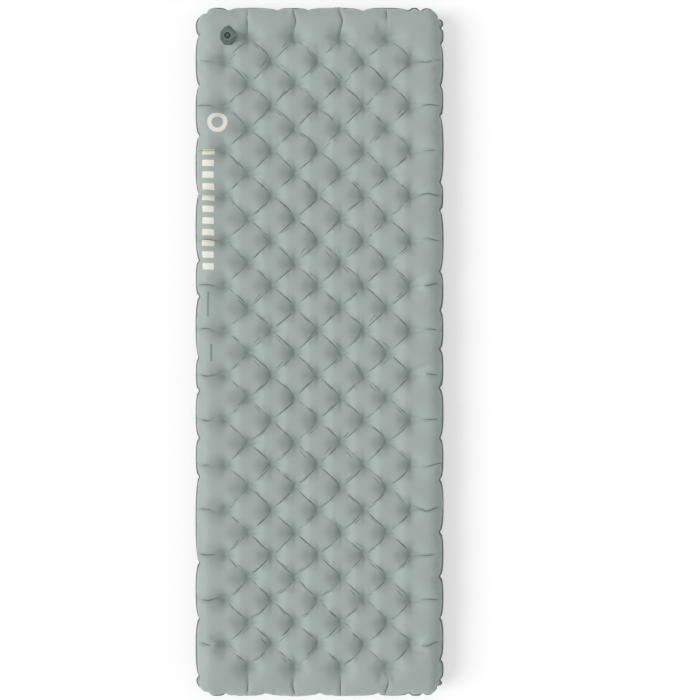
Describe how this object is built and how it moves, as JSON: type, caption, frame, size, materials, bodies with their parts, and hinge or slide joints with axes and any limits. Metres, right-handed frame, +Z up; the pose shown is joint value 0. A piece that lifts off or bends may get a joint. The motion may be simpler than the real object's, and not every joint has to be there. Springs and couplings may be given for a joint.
{
  "type": "inflatable sleeping pad",
  "caption": "Rectangular insulated air mattress for camping, dimple-quilted on both faces, with a two-flap hexagonal air valve in one corner at the head.",
  "frame": {"origin": "on the ground, under the middle of the inflated pad's outline", "axes": "+Y towards the head end that carries the valve, +X to the right seen from above with the head up, +Z up out of the face that is slept on"},
  "size_m": [0.655, 1.83, 0.1047],
  "materials": {
    "top_fabric": "coated ripstop nylon, dull satin, sage grey",
    "bottom_fabric": "coated ripstop nylon, matt, darker sage grey",
    "loop_fabric": "laminated nylon tape",
    "weld_film": "translucent weld film",
    "metallised_film": "thin metallised film",
    "batting": "soft non-woven batting",
    "valve_plastic": "satin soft urethane",
    "flap_plastic": "satin soft urethane",
    "cap_plastic": "satin soft urethane",
    "silicone": "matt silicone rubber",
    "button_plastic": "smooth nylon"
  },
  "bodies": {
    "mattress": {"top_skin": "top_fabric", "bottom_skin": "bottom_fabric", "tension_loops": "loop_fabric", "top_weld_dots": "weld_film", "bottom_weld_dots": "weld_film", "reflective_film": "metallised_film", "insulation_batting": "batting", "valve_base": "valve_plastic", "deflate_strap": "flap_plastic"},
    "emptying_flap": {"deflate_flap": "flap_plastic", "membrane_seat": "cap_plastic", "inflate_strap": "cap_plastic"},
    "filling_cap": {"inflate_cap": "cap_plastic"},
    "check_valve": {"check_membrane": "silicone", "release_button": "button_plastic"}
  },
  "joints": [
    {"name": "deflate_flap_hinge", "type": "hinge", "parent": "mattress", "child": "emptying_flap", "pos_m": [-0.239, 0.8058, 0.1013], "axis": [1, 0, 0], "range_deg": [0, 100], "deforming": ["deflate_strap"]},
    {"name": "inflate_cap_hinge", "type": "hinge", "parent": "emptying_flap", "child": "filling_cap", "pos_m": [-0.2537, 0.826, 0.1038], "axis": [0, -1, 0], "range_deg": [0, 150], "deforming": ["inflate_strap"]},
    {"name": "release_button_press", "type": "slide", "parent": "emptying_flap", "child": "check_valve", "axis": [0, 0, -1], "range_m": [0, 0.0011], "stiffness_N_per_m": 200}
  ]
}
